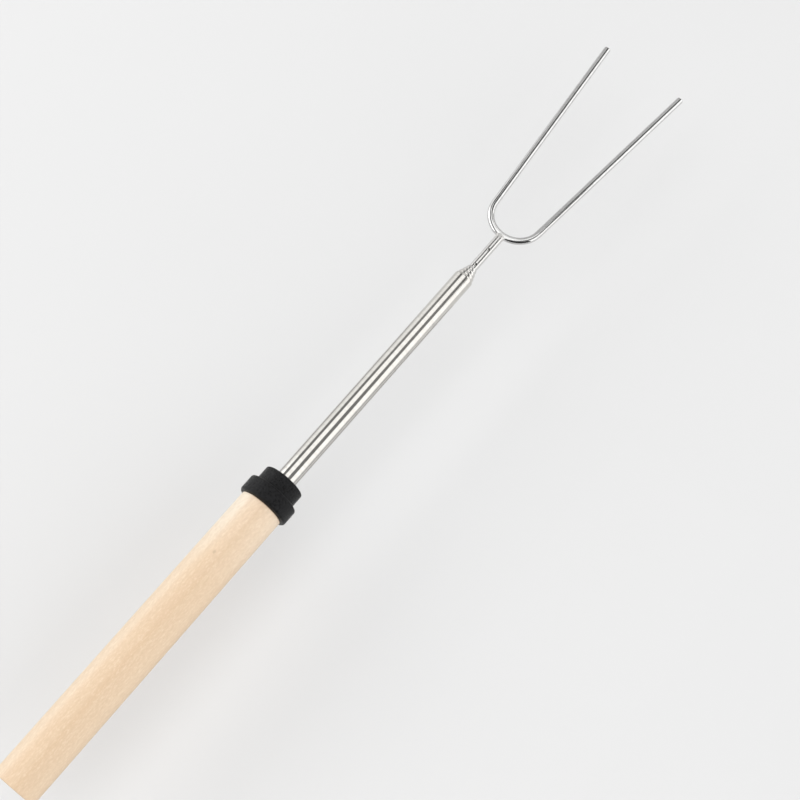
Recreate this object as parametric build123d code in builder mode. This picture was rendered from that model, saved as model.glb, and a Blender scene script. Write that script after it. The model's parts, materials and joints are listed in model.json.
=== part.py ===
from build123d import *
from math import cos, radians, sin
import os

os.makedirs("parts", exist_ok=True)

# Telescopic roasting fork, lying along +X with its tines in the XY plane and closed to its
# shortest. The origin is the centre of the handle's butt face. All sizes are millimetres.
# Five stainless tubes nest in the handle. Each moving tube has a brass foot, and a split
# friction spring in the foot's groove grips the bore of the tube around it.

# --- driving dimensions -------------------------------------------------------------------
closed_length = 322.0
handle_d = 15.2
handle_len = 110.3
butt_ease = 0.35
front_ease = 0.3
handle_spigot_d = 12.0
handle_spigot_len = 4.5

# the collar is pressed over the handle's spigot and narrows to a nose round the outer tube
collar_rim_x = 110.35
flange_d = 17.95
flange_len = 5.8
nose_d = 14.4
nose_len = 5.4
collar_rear_round = 0.9
collar_front_round = 0.45
nose_round = 0.55
collar_fit = 0.05
collar_end_gap = 0.2

# tubes, from the fixed outer one to the one that carries the fork
tube_d = [7.0, 6.0, 5.0, 4.0, 3.1]
tube_wall = [0.30, 0.30, 0.30, 0.25, 0.30]
mouth_x = [215.3, 216.8, 218.25, 219.8]
lip_len = [0.85, 0.85, 0.85, 0.95]
lip_fit = 0.05
lip_edge = 0.6
outer_tube_x = 71.4
tube_fit = 0.03
neck_end_x = 234.6

# brass feet: a head that slides in the parent tube and a spigot pressed into its own tube
first_foot_front_x = 80.3
foot_pitch = 9.0
foot_head_len = 4.6
foot_spigot_len = 4.0
head_fit = 0.06
spigot_fit = 0.02
foot_ease = 0.2
groove_len = 2.2
groove_depth = [0.50, 0.45, 0.40, 0.40]
plug_flange_len = 1.5
plug_flange_gap = 0.1
plug_stop_gap = 0.2

# friction springs: thin split rings, bowed out to rub on the parent's bore
spring_strip = 0.12
spring_side_gap = 0.10
spring_bore_gap = 0.03
spring_bow = 0.12
spring_slot_deg = 40.0

# fork: one wire bent to a U, welded to a stem that is punched fast in the last tube
fork_len = 85.65
wire_d = 2.5
bend_r = 9.4
tine_splay_deg = 5.1
tip_round = 0.3
stem_len = 20.0
stem_fit = 0.02
punch_x = [221.05, 228.35]
punch_turn_deg = 10.0
punch_r = 0.80
punch_depth = 0.38

# weld: half-widths across the fork and half-heights, at its waist and where it meets the wire
weld_waist_half_y = 1.8
weld_waist_half_z = 1.47
weld_wire_half_y = 2.5
weld_wire_half_z = 1.125

# --- worked out from them -----------------------------------------------------------------
bore_d = [d - 2 * wall for d, wall in zip(tube_d, tube_wall)]
shoulder_x = [x - length for x, length in zip(mouth_x, lip_len)]
foot_front_x = [first_foot_front_x + foot_pitch * i for i in range(4)]
flange_front_x = collar_rim_x + flange_len
nose_front_x = flange_front_x + nose_len
bend_x = closed_length - fork_len
tine_end_x = bend_x + bend_r * (1 - sin(radians(tine_splay_deg)))
neck_r = tube_d[4] / 2
weld_sections = [
    (neck_end_x, neck_r, neck_r),
    ((neck_end_x + bend_x) / 2, weld_waist_half_y, weld_waist_half_z),
    (bend_x, weld_wire_half_y, weld_wire_half_z)]


def outline(*points):
    """A closed straight-sided outline of (x, radius) points, to be turned about X."""
    with BuildSketch(Plane.XY) as sketch:
        with BuildLine():
            Polyline(*points, close=True)
        make_face()
    return sketch.sketch


def circles_at(part, x, radius):
    """The part's circular edges about the X axis at one station and radius."""
    edges = part.edges().filter_by(GeomType.CIRCLE)
    return edges.filter_by(lambda e: abs(e.arc_center.X - x) < 0.01 and abs(e.radius - radius) < 0.01)


# --- handle: a wooden dowel, bored for the outer tube and turned down in front -------------
bore_bottom_x = outer_tube_x - plug_flange_len
handle_front_x = handle_len + handle_spigot_len
with BuildPart() as handle:
    with BuildSketch(Plane.YZ):
        Circle(handle_d / 2)
    extrude(amount=handle_len)
    with BuildSketch(Plane.YZ.offset(handle_len)):
        Circle(handle_spigot_d / 2)
    extrude(amount=handle_spigot_len)
    with BuildSketch(Plane.YZ.offset(bore_bottom_x)):
        Circle(tube_d[0] / 2 + tube_fit)
    extrude(amount=handle_front_x - bore_bottom_x, mode=Mode.SUBTRACT)
    fillet(circles_at(handle.part, 0, handle_d / 2), radius=butt_ease)
    fillet(circles_at(handle.part, handle_len, handle_d / 2), radius=front_ease)
handle.part.label = "handle"
export_step(handle.part, "parts/handle.step")

# --- collar: one black moulding, a flange against the wood and a nose round the tube --------
with BuildPart() as collar:
    cup_r = handle_spigot_d / 2 + collar_fit
    cup_end_x = handle_front_x + collar_end_gap
    hole_r = tube_d[0] / 2 + collar_fit
    profile = outline(
        (collar_rim_x, cup_r), (collar_rim_x, flange_d / 2), (flange_front_x, flange_d / 2),
        (flange_front_x, nose_d / 2), (nose_front_x, nose_d / 2), (nose_front_x, hole_r),
        (cup_end_x, hole_r), (cup_end_x, cup_r))
    revolve(profile, axis=Axis.X)
    fillet(circles_at(collar.part, collar_rim_x, flange_d / 2), radius=collar_rear_round)
    fillet(circles_at(collar.part, flange_front_x, flange_d / 2), radius=collar_front_round)
    fillet(circles_at(collar.part, nose_front_x, nose_d / 2), radius=nose_round)
collar.part.label = "collar"
export_step(collar.part, "parts/collar.step")


# --- tubes with a rolled-in lip that closes on the next tube and stops its foot -------------
def lipped_wall(i, start_x):
    """Wall section of one of the first four tubes: straight, then the lip rolled to the mouth."""
    r_out = tube_d[i] / 2
    r_in = bore_d[i] / 2
    lip_in = tube_d[i + 1] / 2 + lip_fit
    lip_out = lip_in + lip_edge * tube_wall[i]
    with BuildSketch(Plane.XY) as section:
        with BuildLine():
            Polyline((shoulder_x[i], r_in), (start_x, r_in), (start_x, r_out), (shoulder_x[i], r_out))
            TangentArc((shoulder_x[i], r_out), (mouth_x[i], lip_out), tangent=(1, 0))
            Line((mouth_x[i], lip_out), (mouth_x[i], lip_in))
            TangentArc((shoulder_x[i], r_in), (mouth_x[i], lip_in), tangent=(1, 0))
        make_face()
    return section.sketch


with BuildPart() as outer_tube:
    revolve(lipped_wall(0, outer_tube_x), axis=Axis.X)
outer_tube.part.label = "outer_tube"
export_step(outer_tube.part, "parts/outer_tube.step")

# --- base plug: closes the outer tube's foot and is the stop that the second tube sits on ---
with BuildPart() as outer_tube_plug:
    plug_r = bore_d[0] / 2 - spigot_fit
    plug_flange_r = tube_d[0] / 2 - plug_flange_gap
    plug_front_x = foot_front_x[0] - foot_head_len - plug_stop_gap
    profile = outline(
        (bore_bottom_x, 0), (bore_bottom_x, plug_flange_r), (outer_tube_x, plug_flange_r),
        (outer_tube_x, plug_r), (plug_front_x, plug_r), (plug_front_x, 0))
    revolve(profile, axis=Axis.X)
    chamfer(circles_at(outer_tube_plug.part, plug_front_x, plug_r), length=foot_ease)
outer_tube_plug.part.label = "outer_tube_plug"
export_step(outer_tube_plug.part, "parts/outer_tube_plug.step")

for i in range(1, 4):
    with BuildPart() as sliding_tube:
        revolve(lipped_wall(i, foot_front_x[i - 1]), axis=Axis.X)
    sliding_tube.part.label = f"tube_{i + 1}"
    export_step(sliding_tube.part, f"parts/tube_{i + 1}.step")


# --- last tube: open neck, punched twice to hold the fork's stem ----------------------------
punch_out = neck_r + punch_r - punch_depth
punch_turn = radians(punch_turn_deg)
punch_places = [(x, -punch_out * sin(punch_turn), punch_out * cos(punch_turn)) for x in punch_x]

with BuildPart() as tube_5:
    with BuildSketch(Plane.YZ.offset(foot_front_x[3])):
        Circle(neck_r)
        Circle(bore_d[4] / 2, mode=Mode.SUBTRACT)
    extrude(amount=neck_end_x - foot_front_x[3])
    # inside each mark the wall bulges into the stem, one wall thickness below the ball
    with Locations(punch_places):
        Sphere(punch_r + tube_wall[4])
        Sphere(punch_r, mode=Mode.SUBTRACT)
    # the bulges are trimmed off flush with the outside of the tube
    with BuildSketch(Plane.YZ.offset(foot_front_x[3])):
        Circle(neck_r)
    extrude(amount=neck_end_x - foot_front_x[3], mode=Mode.INTERSECT)
tube_5.part.label = "tube_5"
export_step(tube_5.part, "parts/tube_5.step")

# --- feet and friction springs, one pair for each moving tube -------------------------------
for i in range(4):
    head_r = bore_d[i] / 2 - head_fit
    spigot_r = bore_d[i + 1] / 2 - spigot_fit
    front_x = foot_front_x[i]
    back_x = front_x - foot_head_len
    groove_r = head_r - groove_depth[i]
    groove_start = back_x + (foot_head_len - groove_len) / 2
    groove_end = groove_start + groove_len
    with BuildPart() as foot:
        profile = outline(
            (back_x, 0), (back_x, head_r), (groove_start, head_r), (groove_start, groove_r),
            (groove_end, groove_r), (groove_end, head_r), (front_x, head_r), (front_x, spigot_r),
            (front_x + foot_spigot_len, spigot_r), (front_x + foot_spigot_len, 0))
        revolve(profile, axis=Axis.X)
        chamfer(circles_at(foot.part, back_x, head_r), length=foot_ease)
        chamfer(circles_at(foot.part, front_x + foot_spigot_len, spigot_r), length=foot_ease)
    foot.part.label = f"foot_{i + 2}"
    export_step(foot.part, f"parts/foot_{i + 2}.step")

    # a strip rolled to a ring: its ends sit in the groove and its middle bows out to the bore
    strip_start = groove_start + spring_side_gap
    strip_end = groove_end - spring_side_gap
    strip_mid = (strip_start + strip_end) / 2
    crown_r = bore_d[i] / 2 - spring_bore_gap
    edge_r = crown_r - spring_bow
    with BuildPart() as friction_spring:
        with BuildSketch(Plane.XY):
            with BuildLine():
                ThreePointArc((strip_start, edge_r), (strip_mid, crown_r), (strip_end, edge_r))
                Line((strip_end, edge_r), (strip_end, edge_r - spring_strip))
                ThreePointArc((strip_end, edge_r - spring_strip), (strip_mid, crown_r - spring_strip),
                              (strip_start, edge_r - spring_strip))
                Line((strip_start, edge_r - spring_strip), (strip_start, edge_r))
            make_face()
        revolve(axis=Axis.X, revolution_arc=360 - spring_slot_deg)
    friction_spring.part.label = f"friction_spring_{i + 2}"
    export_step(friction_spring.part, f"parts/friction_spring_{i + 2}.step")

# --- fork: tines and bend are one wire; its path runs tip to tip ----------------------------
splay = radians(tine_splay_deg)
bend_edge = (tine_end_x, bend_r * cos(splay))
tine_len = (closed_length - tine_end_x) / cos(splay)
tip = (closed_length, bend_edge[1] + tine_len * sin(splay))
with BuildPart() as fork_wire:
    with BuildLine(Plane.XY) as wire_path:
        Line(tip, bend_edge)
        ThreePointArc(bend_edge, (bend_x, 0), (bend_edge[0], -bend_edge[1]))
        Line((bend_edge[0], -bend_edge[1]), (tip[0], -tip[1]))
    with BuildSketch(Plane(origin=(*tip, 0), x_dir=(0, 0, 1), z_dir=(-cos(splay), -sin(splay), 0))):
        Circle(wire_d / 2)
    sweep(path=wire_path.line)
    tip_edges = fork_wire.part.edges().filter_by(GeomType.CIRCLE).group_by(Axis.X)[-1]
    fillet(tip_edges, radius=tip_round)
fork_wire.part.label = "fork_wire"
export_step(fork_wire.part, "parts/fork_wire.step")

# --- stem: a short pin in the last tube, its end coped to the bend of the wire ---------------
with BuildPart() as fork_stem:
    stem_start_x = neck_end_x - stem_len
    with BuildSketch(Plane.YZ.offset(stem_start_x)):
        Circle(bore_d[4] / 2 - stem_fit)
    extrude(amount=bend_x - stem_start_x)
    with Locations(punch_places):
        Sphere(punch_r + tube_wall[4] + stem_fit, mode=Mode.SUBTRACT)
    add(fork_wire.part, mode=Mode.SUBTRACT)
fork_stem.part.label = "fork_stem"
export_step(fork_stem.part, "parts/fork_stem.step")

# --- weld: a saddle of metal that spreads from the tube's end along the wire -----------------
with BuildPart() as weld_bead:
    for x, half_y, half_z in weld_sections:
        with BuildSketch(Plane.YZ.offset(x)):
            Ellipse(half_y, half_z)
    loft()
    add(fork_wire.part, mode=Mode.SUBTRACT)
    add(fork_stem.part, mode=Mode.SUBTRACT)
weld_bead.part.label = "weld_bead"
export_step(weld_bead.part, "parts/weld_bead.step")

strokes = [shoulder_x[i] - foot_front_x[i] for i in range(4)]
print("strokes", [round(s, 2) for s in strokes], "open length", round(closed_length + sum(strokes), 1))
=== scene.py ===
import json
from math import cos, radians, sin, tan

import bpy
from mathutils import Matrix, Vector


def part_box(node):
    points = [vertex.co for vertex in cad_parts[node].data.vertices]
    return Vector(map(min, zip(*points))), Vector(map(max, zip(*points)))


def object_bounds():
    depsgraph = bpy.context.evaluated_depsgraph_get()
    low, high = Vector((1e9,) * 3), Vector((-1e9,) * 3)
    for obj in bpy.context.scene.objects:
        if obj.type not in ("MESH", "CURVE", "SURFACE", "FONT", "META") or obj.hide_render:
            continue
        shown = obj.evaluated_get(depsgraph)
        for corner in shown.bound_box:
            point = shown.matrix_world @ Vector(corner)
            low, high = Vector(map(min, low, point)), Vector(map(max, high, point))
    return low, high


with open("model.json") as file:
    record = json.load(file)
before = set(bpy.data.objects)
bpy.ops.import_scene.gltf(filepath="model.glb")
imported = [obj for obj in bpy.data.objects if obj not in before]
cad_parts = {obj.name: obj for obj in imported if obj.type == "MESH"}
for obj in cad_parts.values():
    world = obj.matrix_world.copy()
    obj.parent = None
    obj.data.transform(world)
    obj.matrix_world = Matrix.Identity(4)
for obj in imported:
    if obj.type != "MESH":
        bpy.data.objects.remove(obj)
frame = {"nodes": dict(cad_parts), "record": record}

cad_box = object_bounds()
MM = 0.001


# --- camera: a 65 mm lens close above the fork, its tines leaning away and up to the right ----
def make_camera(name, aim, offset, distance, lean, turn, roll, lens):
    """Look at the point aim on the fork's axis, which lies offset to one side of the view's middle.

    lean tips the tines away from the camera, turn sets the fork's slant in the picture and roll
    turns it about its own axis."""
    axes = (Matrix.Rotation(turn, 3, "Z") @ Matrix.Rotation(lean, 3, "Y")
            @ Matrix.Rotation(-roll, 3, "X"))
    rotation = axes.transposed()
    data = bpy.data.cameras.new(name)
    data.lens = lens
    data.clip_start = 10 * MM
    camera = bpy.data.objects.new(name, data)
    place = aim - rotation @ Vector((*offset, -distance))
    camera.matrix_world = Matrix.Translation(place) @ rotation.to_4x4()
    bpy.context.scene.collection.objects.link(camera)
    bpy.context.scene.camera = camera


make_camera("Camera", aim=Vector((167.2, 0, 0)) * MM, offset=Vector((-8.19, 6.89)) * MM,
            distance=472.3 * MM, lean=radians(18.65), turn=radians(49.01), roll=radians(9.81),
            lens=65)


# --- node helpers --------------------------------------------------------------------------
MIX_A, MIX_B, MIX_RESULT = 6, 7, 2  # the colour sockets of a Mix node


class Material:
    """A node material on one Principled shader, with short calls for the nodes it needs.

    Colours are linear RGBA. fixed sets sockets of the shader that are the same all over."""

    def __init__(self, name, **fixed):
        self.material = bpy.data.materials.new(name)
        self.material.use_nodes = True
        self.tree = self.material.node_tree
        self.shader = self.tree.nodes["Principled BSDF"]
        for socket, value in fixed.items():
            self.shader.inputs[socket.replace("_", " ")].default_value = value
        self.place = self.node("ShaderNodeTexCoord").outputs["Object"]

    def node(self, kind, **settings):
        """A new node with its settings made."""
        made = self.tree.nodes.new(kind)
        for key, value in settings.items():
            setattr(made, key, value)
        return made

    def feed(self, socket, value):
        """Link a socket to another node's output, or give it a fixed value."""
        if isinstance(value, bpy.types.NodeSocket):
            self.tree.links.new(value, socket)
        else:
            socket.default_value = value

    def mapped(self, scale, shift=(0, 0, 0)):
        """The piece's own coordinates in millimetres, shifted and then scaled on each axis."""
        moved = self.node("ShaderNodeVectorMath", operation="MULTIPLY_ADD")
        self.feed(moved.inputs[0], self.place)
        moved.inputs[1].default_value = [value / MM for value in scale]
        moved.inputs[2].default_value = [a * b for a, b in zip(shift, scale)]
        return moved.outputs[0]

    def axis(self, letter):
        """One of the piece's own coordinates, in millimetres."""
        split = self.node("ShaderNodeSeparateXYZ")
        self.feed(split.inputs[0], self.mapped((1, 1, 1)))
        return split.outputs[letter]

    def distance(self, centre, scale=(1, 1, 1)):
        """How far a point is from centre in millimetres, with each axis scaled."""
        length = self.node("ShaderNodeVectorMath", operation="LENGTH")
        self.feed(length.inputs[0], self.mapped(scale, shift=[-value for value in centre]))
        return length.outputs["Value"]

    def noise(self, vector, detail=3.0, rough=0.5, out="Fac"):
        """Cloudy noise, its features about 1 wide in the units of the vector."""
        made = self.node("ShaderNodeTexNoise")
        self.feed(made.inputs["Vector"], vector)
        made.inputs["Scale"].default_value = 1.0
        made.inputs["Detail"].default_value = detail
        made.inputs["Roughness"].default_value = rough
        return made.outputs[out]

    def math(self, operation, a, b=0.0, c=0.0):
        """One step of arithmetic on up to three numbers."""
        made = self.node("ShaderNodeMath", operation=operation)
        for socket, value in zip(made.inputs, (a, b, c)):
            self.feed(socket, value)
        return made.outputs[0]

    def spread(self, value, low, high, to_low=0.0, to_high=1.0, smooth=False):
        """Map a value from low..high to to_low..to_high and hold it there."""
        made = self.node("ShaderNodeMapRange")
        made.interpolation_type = "SMOOTHSTEP" if smooth else "LINEAR"
        ends = {"From Min": low, "From Max": high, "To Min": to_low, "To Max": to_high}
        for name, number in ends.items():
            made.inputs[name].default_value = number
        self.feed(made.inputs["Value"], value)
        return made.outputs["Result"]

    def blend(self, factor, a, b):
        """Colour a where the factor is 0, going over to colour b where it is 1."""
        made = self.node("ShaderNodeMix", data_type="RGBA")
        self.feed(made.inputs["Factor"], factor)
        self.feed(made.inputs[MIX_A], a)
        self.feed(made.inputs[MIX_B], b)
        return made.outputs[MIX_RESULT]

    def ramp(self, value, *stops):
        """Colour a value from 0 to 1 by stops, each a position and a colour."""
        made = self.node("ShaderNodeValToRGB")
        while len(made.color_ramp.elements) < len(stops):
            made.color_ramp.elements.new(0.5)
        for element, (position, colour) in zip(made.color_ramp.elements, stops):
            element.position = position
            element.color = colour
        self.feed(made.inputs["Fac"], value)
        return made.outputs["Color"]

    def bump(self, height, depth_mm, strength):
        """A fine relief, depth_mm deep where the height goes from 0 to 1."""
        made = self.node("ShaderNodeBump")
        made.inputs["Distance"].default_value = depth_mm * MM
        made.inputs["Strength"].default_value = strength
        self.feed(made.inputs["Height"], height)
        return made.outputs["Normal"]

    def shade(self, **inputs):
        """Feed the shader's sockets and give the finished material."""
        for socket, value in inputs.items():
            self.feed(self.shader.inputs[socket.replace("_", " ")], value)
        return self.material


# --- materials: places and sizes are in millimetres ------------------------------------------
WOOD_LIGHT = (0.70, 0.545, 0.40, 1)
WOOD_MID = (0.675, 0.515, 0.37, 1)
WOOD_DARK = (0.63, 0.465, 0.32, 1)
PALE_STREAK = (0.735, 0.605, 0.45, 1)
BLUSH = (0.665, 0.49, 0.36, 1)
# painted sheen: the cream of the +Y side where the left soft box falls
PAINTED_SHEEN_CREAM = (0.75, 0.695, 0.585, 1)
# painted light: the paler tone of the -Y side where the right soft box falls
PAINTED_LIGHT_SIDE = (0.76, 0.64, 0.505, 1)
# partly the wood's own tan and partly painted warm shade towards the butt
WARM_TAN_AND_SHADE = (0.63, 0.445, 0.275, 1)
MOTTLE_DARK = (0.49, 0.355, 0.23, 1)
MOTTLE_LIGHT = (0.78, 0.67, 0.52, 1)
PORE = (0.46, 0.32, 0.20, 1)
KNOT = (0.34, 0.25, 0.17, 1)
END_PIT = (0.44, 0.31, 0.19, 1)
END_LIGHT = (0.62, 0.47, 0.33, 1)
KNOT_PLACE = (88.9, 0.4, 7.55)


def wood():
    """Pale close-grained hardwood: soft lengthwise streaks, fine fibres, pores and one pin knot."""
    m = Material("wood", Coat_Weight=0.25, Coat_Roughness=0.42)

    # growth rings round a heart beside the dowel, bent by a slow noise
    warp = m.noise(m.mapped((0.012, 0.10, 0.10)), detail=2, out="Color")
    bent = m.node("ShaderNodeVectorMath", operation="MULTIPLY_ADD")
    m.feed(bent.inputs[0], warp)
    bent.inputs[1].default_value = (0, 2.6, 2.6)
    m.feed(bent.inputs[2], m.mapped((0.02, 1, 1), shift=(0, 16.5, 24)))
    rings = m.node("ShaderNodeTexWave", wave_type="RINGS", rings_direction="X", wave_profile="SIN")
    m.feed(rings.inputs["Vector"], bent.outputs[0])
    rings.inputs["Scale"].default_value = 0.09
    rings.inputs["Distortion"].default_value = 2.2
    rings.inputs["Detail"].default_value = 2
    rings.inputs["Detail Scale"].default_value = 0.3
    colour = m.ramp(rings.outputs["Fac"], (0.0, WOOD_LIGHT), (0.5, WOOD_MID), (1.0, WOOD_DARK))

    # fibres, streaks and blushes along the grain
    fibres = m.noise(m.mapped((0.05, 3.2, 3.2)), detail=6, rough=0.7)
    streaks = m.noise(m.mapped((0.010, 0.30, 0.30), shift=(40, -2.5, 9)), detail=2)
    blush = m.noise(m.mapped((0.06, 0.20, 0.20), shift=(11, 2.5, 2)), detail=2)
    colour = m.blend(m.spread(fibres, 0.35, 0.7, 0, 0.25), colour, WOOD_DARK)
    colour = m.blend(m.spread(streaks, 0.42, 0.68, 0, 0.6), colour, PALE_STREAK)
    colour = m.blend(m.spread(blush, 0.48, 0.66, 0, 0.3), colour, BLUSH)

    # painted light on the two sides: a cream sheen along +Y and a paler -Y side, where the side
    # soft boxes fall; towards the butt a warmer tan, partly the wood's own tone and partly painted
    # warm shade
    # painted sheen: the +Y side is lightened to cream, as if lit from the left
    painted_sheen_edge = m.math("MULTIPLY_ADD", streaks, 4.5, m.axis("Y"))
    painted_sheen = m.spread(painted_sheen_edge, 3.6, 7.6, 0, 0.85, smooth=True)
    colour = m.blend(painted_sheen, colour, PAINTED_SHEEN_CREAM)
    # painted light: the -Y side is lightened, as if lit from the right
    pale = m.spread(m.axis("Y"), -3.0, -6.5, 0, 0.65, smooth=True)
    colour = m.blend(pale, colour, PAINTED_LIGHT_SIDE)
    # partly painted shade: a warmer, darker tan towards the butt, partly the wood's own tone and
    # partly painted warm bounce light and shade
    tan_and_shade_edge = m.math("MULTIPLY_ADD", blush, 22.0, m.axis("X"))
    colour = m.blend(m.spread(tan_and_shade_edge, 125, 91, 0, 0.60), colour, WARM_TAN_AND_SHADE)

    # a fine mottle
    mottle = m.noise(m.mapped((0.7, 1.9, 1.9)), detail=4, rough=0.7)
    colour = m.blend(m.spread(mottle, 0.40, 0.66, 0, 0.31), colour, MOTTLE_DARK)
    colour = m.blend(m.spread(mottle, 0.46, 0.32, 0, 0.28), colour, MOTTLE_LIGHT)

    # pores, in patches
    pores = m.node("ShaderNodeTexVoronoi", feature="F1")
    m.feed(pores.inputs["Vector"], m.mapped((0.30, 2.6, 2.6)))
    fleck = m.spread(pores.outputs["Distance"], 0.10, 0.22, 1, 0, smooth=True)
    patches = m.noise(m.mapped((0.05, 0.4, 0.4), shift=(7, 3, 0)), detail=1)
    fleck = m.math("MULTIPLY", fleck, m.spread(patches, 0.48, 0.62, 0, 0.4))
    colour = m.blend(fleck, colour, PORE)

    # the pin knot
    knot = m.spread(m.distance(KNOT_PLACE, scale=(0.75, 1, 1)), 0.15, 0.75, 1, 0, smooth=True)
    colour = m.blend(m.math("MULTIPLY", knot, 0.38), colour, KNOT)

    # the sawn butt
    end_grain = m.spread(m.axis("X"), 0.02, 0.30, 1, 0, smooth=True)
    pits = m.noise(m.mapped((0.3, 5, 5)), detail=4, rough=0.7)
    end_colour = m.blend(m.spread(pits, 0.35, 0.65), END_PIT, END_LIGHT)
    colour = m.blend(m.math("MULTIPLY", end_grain, 0.6), colour, end_colour)

    rough = m.spread(fibres, 0.3, 0.7, 0.44, 0.60)
    end_pits = m.math("MULTIPLY", m.math("MULTIPLY", end_grain, pits), 1.5)
    height = m.math("SUBTRACT", fibres, m.math("MULTIPLY", fleck, 0.8))
    height = m.math("SUBTRACT", height, end_pits)
    return m.shade(Base_Color=colour, Roughness=rough, Normal=m.bump(height, 0.03, 0.6))


COLLAR_DARK = (0.0006, 0.0006, 0.0008, 1)
COLLAR_LIGHT = (0.009, 0.009, 0.010, 1)


def collar_black():
    """Matt black moulded plastic with a faint mottle, a fine spark texture and a soft sheen."""
    m = Material("collar_black", Specular_IOR_Level=0.2)
    mottle = m.noise(m.mapped((1.3, 1.3, 1.3)), detail=4, rough=0.65)
    spark = m.noise(m.mapped((5, 5, 5)), detail=3, rough=0.6)
    colour = m.ramp(mottle, (0.38, COLLAR_DARK), (0.68, COLLAR_LIGHT))
    rough = m.spread(mottle, 0.3, 0.7, 0.22, 0.46)
    height = m.math("ADD", spark, m.math("MULTIPLY", mottle, 3.0))
    return m.shade(Base_Color=colour, Roughness=rough, Normal=m.bump(height, 0.11, 0.8))


TUBE_DULL = (0.615, 0.595, 0.56, 1)
TUBE_BRIGHT = (0.67, 0.653, 0.62, 1)
RUB = (0.53, 0.51, 0.47, 1)
NECK_STEEL = (0.66, 0.655, 0.645, 1)
# painted shade: the dark of the shaded side of a punch mark
PUNCH_SHADE = (0.03, 0.028, 0.025, 1)
NECK_FROM, NECK_FULL = 214, 221  # the X where the whiter tint of the neck begins and is full
PUNCH_X = (221.05, 228.35)  # the X of the two punch marks
PUNCH_SHADE_OFFSET = (0.22, -0.42, 1.25)  # from a punch mark's X on the fork's axis to its spot of painted shade


def tube_steel():
    """Stainless tube: bright, with fine polishing lines round it and faint rub marks along it.

    The neck is a little whiter, and a dark spot of painted shade sits in each of its two punch
    marks."""
    m = Material("tube_steel", Metallic=1.0)
    lines = m.noise(m.mapped((7.0, 0.12, 0.12)), detail=5, rough=0.75)
    bands = m.noise(m.mapped((0.8, 0.06, 0.06)), detail=3, rough=0.6)
    rubs = m.noise(m.mapped((0.02, 4.0, 4.0)), detail=3, rough=0.6)
    tint = m.blend(m.spread(bands, 0.35, 0.65), TUBE_DULL, TUBE_BRIGHT)
    tint = m.blend(m.spread(rubs, 0.60, 0.72, 0, 0.25), tint, RUB)
    neck = m.spread(m.axis("X"), NECK_FROM, NECK_FULL, 0, 0.75, smooth=True)
    tint = m.blend(neck, tint, NECK_STEEL)
    ahead, aside, up = PUNCH_SHADE_OFFSET
    # painted shade: a dark spot in each punch mark, standing in for the shade in the dent
    spots = [m.spread(m.distance((punch_x + ahead, aside, up)), 0.25, 0.50, 1, 0, smooth=True)
             for punch_x in PUNCH_X]
    punch_shade = m.math("MULTIPLY", m.math("MAXIMUM", *spots), 0.95)
    tint = m.blend(punch_shade, tint, PUNCH_SHADE)
    rough = m.spread(lines, 0.3, 0.7, 0.07, 0.17)
    return m.shade(Base_Color=tint, Roughness=rough, Normal=m.bump(lines, 0.004, 0.5))


WIRE_DULL = (0.61, 0.607, 0.60, 1)
WIRE_BRIGHT = (0.68, 0.677, 0.67, 1)


def wire_steel():
    """Polished stainless wire with faint drawing lines."""
    m = Material("wire_steel", Metallic=1.0)
    cloud = m.noise(m.mapped((0.5, 0.5, 0.5)), detail=3)
    fine = m.noise(m.mapped((0.25, 5.0, 5.0)), detail=3, rough=0.6)
    tint = m.blend(m.spread(cloud, 0.35, 0.65), WIRE_DULL, WIRE_BRIGHT)
    rough = m.spread(fine, 0.3, 0.7, 0.06, 0.14)
    return m.shade(Base_Color=tint, Roughness=rough, Normal=m.bump(fine, 0.003, 0.4))


WELD_DULL = (0.62, 0.61, 0.59, 1)
WELD_BRIGHT = (0.72, 0.71, 0.69, 1)


def weld_steel():
    """Weld metal, smoothed and a little duller than the wire."""
    m = Material("weld_steel", Metallic=1.0)
    ripple = m.noise(m.mapped((2.2, 2.2, 2.2)), detail=3, rough=0.6)
    tint = m.blend(m.spread(ripple, 0.35, 0.65), WELD_DULL, WELD_BRIGHT)
    rough = m.spread(ripple, 0.3, 0.7, 0.26, 0.40)
    return m.shade(Base_Color=tint, Roughness=rough, Normal=m.bump(ripple, 0.03, 0.6))


BRASS_BRIGHT = (0.80, 0.60, 0.28, 1)
BRASS_DULL = (0.62, 0.43, 0.18, 1)
BRONZE_BRIGHT = (0.74, 0.46, 0.26, 1)
BRONZE_DULL = (0.56, 0.32, 0.17, 1)


def turned(name, bright, dull, smoothest, roughest):
    """Turned or rolled yellow metal with tool lines round it."""
    m = Material(name, Metallic=1.0)
    lines = m.noise(m.mapped((9.0, 0.2, 0.2)), detail=4, rough=0.7)
    stain = m.noise(m.mapped((0.6, 0.6, 0.6)), detail=3)
    tint = m.blend(m.spread(stain, 0.35, 0.65), dull, bright)
    rough = m.spread(lines, 0.3, 0.7, smoothest, roughest)
    return m.shade(Base_Color=tint, Roughness=rough, Normal=m.bump(lines, 0.006, 0.6))


looks = {
    "wood": wood(),
    "collar_black": collar_black(),
    "tube_steel": tube_steel(),
    "wire_steel": wire_steel(),
    "weld_steel": weld_steel(),
    "brass": turned("brass", BRASS_BRIGHT, BRASS_DULL, 0.20, 0.34),
    "spring_bronze": turned("spring_bronze", BRONZE_BRIGHT, BRONZE_DULL, 0.24, 0.38),
}
for part in frame["record"]["subparts"]:
    slots = frame["nodes"][part["node"]].data.materials
    slots.clear()
    slots.append(looks[part["material_slot"]])


# --- studio: a pale floor, an even pale surround, soft boxes and dark flags ------------------
# Along X, in metres: the handle, the tubes, the neck and the tines each mirror their own stretch
# of the panels, from BACK far behind the butt to FRONT far beyond the tips.
BACK = -1.4
HANDLE_END = 0.38
TUBE_MIDDLE = 0.50
TUBE_END = 0.64
NECK_END = 0.72
SOFTBOX_END = 0.85
TINE_END = 1.25
FRONT = 3.0

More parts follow.
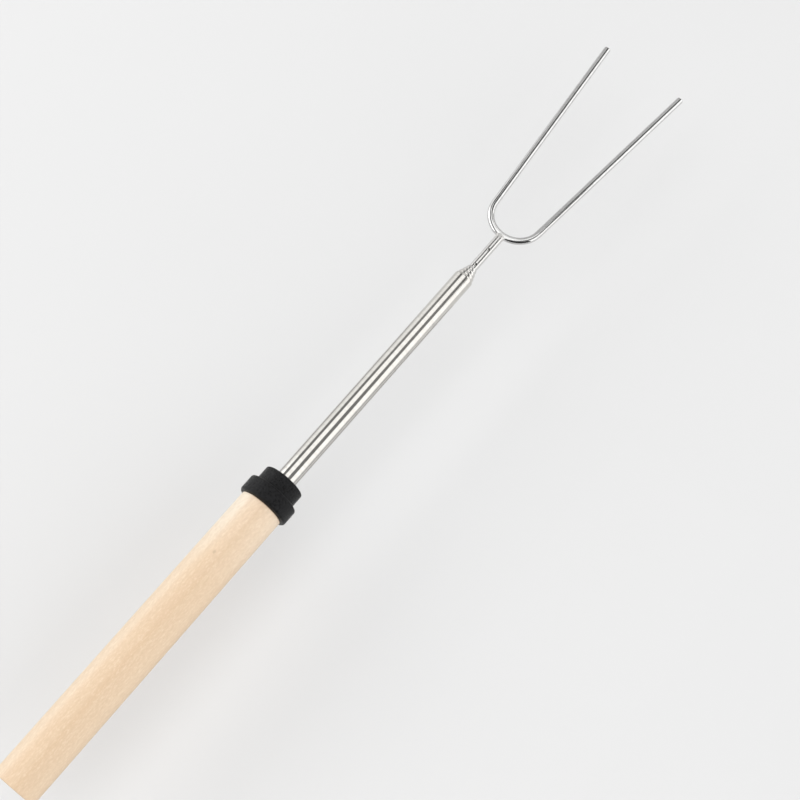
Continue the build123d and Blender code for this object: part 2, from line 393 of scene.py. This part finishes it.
# how far the panels stand from the fork, in metres: a flag stands in front of the soft boxes
SOFTBOX_REACH = 1.1
GREY_REACH = 0.96
FLAG_REACH = 0.95
END_REACH = 1.6
DARK_END_REACH = 0.7

# the floor is low enough for the tines to turn a full circle above it, as the fork is hand-held
TURN_CLEARANCE = 14 * MM
FLOOR_REACH = 30
LINE_LIFT = 0.1 * MM
FLOOR_GREY = (0.63, 0.63, 0.63, 1)
FLOOR_PALE = (0.645, 0.645, 0.645, 1)
floor_z = cad_box[0].y - TURN_CLEARANCE
SURROUND = (0.87, 0.87, 0.87, 1)


def emitter(name, radiance):
    """A plain glowing material."""
    material = bpy.data.materials.new(name)
    material.use_nodes = True
    tree = material.node_tree
    tree.nodes.clear()
    glow = tree.nodes.new("ShaderNodeEmission")
    glow.inputs["Strength"].default_value = radiance
    out = tree.nodes.new("ShaderNodeOutputMaterial")
    tree.links.new(glow.outputs[0], out.inputs["Surface"])
    return material


def plane(name, corners, material):
    """A flat stage piece given by its four corners."""
    mesh = bpy.data.meshes.new(name)
    mesh.from_pydata([tuple(corner) for corner in corners], [], [(0, 1, 2, 3)])
    mesh.materials.append(material)
    piece = bpy.data.objects.new(name, mesh)
    bpy.context.scene.collection.objects.link(piece)
    return piece


def level(name, x_range, y_range, z, material):
    """A level stage piece at height z."""
    (x0, x1), (y0, y1) = x_range, y_range
    return plane(name, [(x0, y0, z), (x1, y0, z), (x1, y1, z), (x0, y1, z)], material)


def hide_panel(piece, lights):
    """Keep a panel out of the picture. It shows in polished metal, and a soft box also lights."""
    piece.visible_camera = False
    piece.visible_shadow = False
    piece.visible_diffuse = lights


def strip(name, turn, along, radiance, lights=False, reach=SOFTBOX_REACH):
    """A panel over the fork: it fills turn = (from, to) degrees from straight up towards +Y, as
    seen from the fork, and runs from x = along[0] to x = along[1]."""
    middle = radians(sum(turn) / 2)
    spread = reach * tan(radians(turn[1] - turn[0]) / 2)
    out = Vector((0, sin(middle), cos(middle)))
    side = Vector((0, cos(middle), -sin(middle)))
    corners = [out * reach + side * spread * a + Vector((x, 0, 0))
               for a, x in ((-1, along[0]), (1, along[0]), (1, along[1]), (-1, along[1]))]
    hide_panel(plane(name, corners, emitter(name, radiance)), lights)


def wall(name, heading, spread, rise, radiance, reach):
    """An upright panel that stands reach metres from the bend of the fork. heading and spread are
    degrees round from +X, and rise = (from, to) is its height in degrees seen from the fork."""
    foot = Vector((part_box("weld_bead")[0].x, 0, 0))
    out = Vector((cos(radians(heading)), sin(radians(heading)), 0))
    side = Vector((-out.y, out.x, 0)) * reach * tan(radians(spread) / 2)
    up = [Vector((0, 0, reach * tan(radians(angle)))) for angle in rise]
    corners = [foot + out * reach + side * a + z
               for a, z in ((-1, up[0]), (1, up[0]), (1, up[1]), (-1, up[1]))]
    hide_panel(plane(name, corners, emitter(name, radiance)), lights=False)


def floor_line(name, y_range, radiance):
    """A greyer strip of the floor beside the tubes that shows only in polished metal. y_range is
    in millimetres."""
    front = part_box("tube_4")[1].x
    sides = [value * MM for value in y_range]
    piece = level(name, (BACK, front), sides, floor_z + LINE_LIFT, emitter(name, radiance))
    hide_panel(piece, lights=False)


def floor_material():
    """A matt pale floor, very slightly uneven in tone."""
    m = Material("floor", Roughness=0.9, Specular_IOR_Level=0.2)
    tone = m.noise(m.mapped((0.004, 0.004, 0.004)), detail=2)
    return m.shade(Base_Color=m.blend(m.spread(tone, 0.3, 0.7), FLOOR_GREY, FLOOR_PALE))


floor_range = (-FLOOR_REACH, FLOOR_REACH)
level("floor", floor_range, floor_range, floor_z, floor_material())

# soft boxes, which light the scene
strip("softbox_top", (-13, 27), (BACK, SOFTBOX_END), 1.5, lights=True)
strip("softbox_right", (-91, -30), (BACK, FRONT), 1.6, lights=True)
strip("softbox_left", (57, 92), (HANDLE_END, SOFTBOX_END), 1.2, lights=True)
strip("softbox_left_near", (48, 92), (BACK, HANDLE_END), 2.8, lights=True)

# dark and grey panels in front of them, which only polished metal mirrors
strip("flag_right", (-46, -12), (BACK, TUBE_MIDDLE), 0.24, reach=FLAG_REACH)
strip("flag_left", (28.5, 57), (BACK, TUBE_MIDDLE), 0.24, reach=FLAG_REACH)
strip("flag_right_end", (-43, -13), (TUBE_MIDDLE, TUBE_END), 0.28, reach=FLAG_REACH)
strip("flag_left_end", (28.5, 53), (TUBE_MIDDLE, TUBE_END), 0.29, reach=FLAG_REACH)
strip("flag_right_neck", (-53, -19), (TUBE_END, NECK_END), 0.02, reach=FLAG_REACH)
strip("flag_left_neck", (28, 54), (TUBE_END, NECK_END), 0.02, reach=FLAG_REACH)
strip("flag_far", (-34, 4), (NECK_END, TINE_END), 0.10, reach=FLAG_REACH)
strip("grey_far", (4, 92), (NECK_END, TINE_END), 0.62, reach=GREY_REACH)

# greyer strips of floor, for the lower sides of the tubes
floor_line("line_right", (-133, -75), 0.52)
floor_line("line_under", (-37, -15), 0.55)
floor_line("line_left", (46, 102), 0.50)

# what the cone, the bend and the weld mirror: a grey wall with a window over it, and a dark one
wall("grey_end", 15, 80, (-2, 27), 0.50, reach=END_REACH)
wall("window_end", 15, 80, (27, 58), 1.25, reach=END_REACH)
wall("dark_end", -137, 75, (-4, 48), 0.03, reach=DARK_END_REACH)

world = bpy.data.worlds.new("surround")
world.use_nodes = True
world.node_tree.nodes["Background"].inputs["Color"].default_value = SURROUND
bpy.context.scene.world = world
bpy.context.scene.view_settings.view_transform = "Standard"
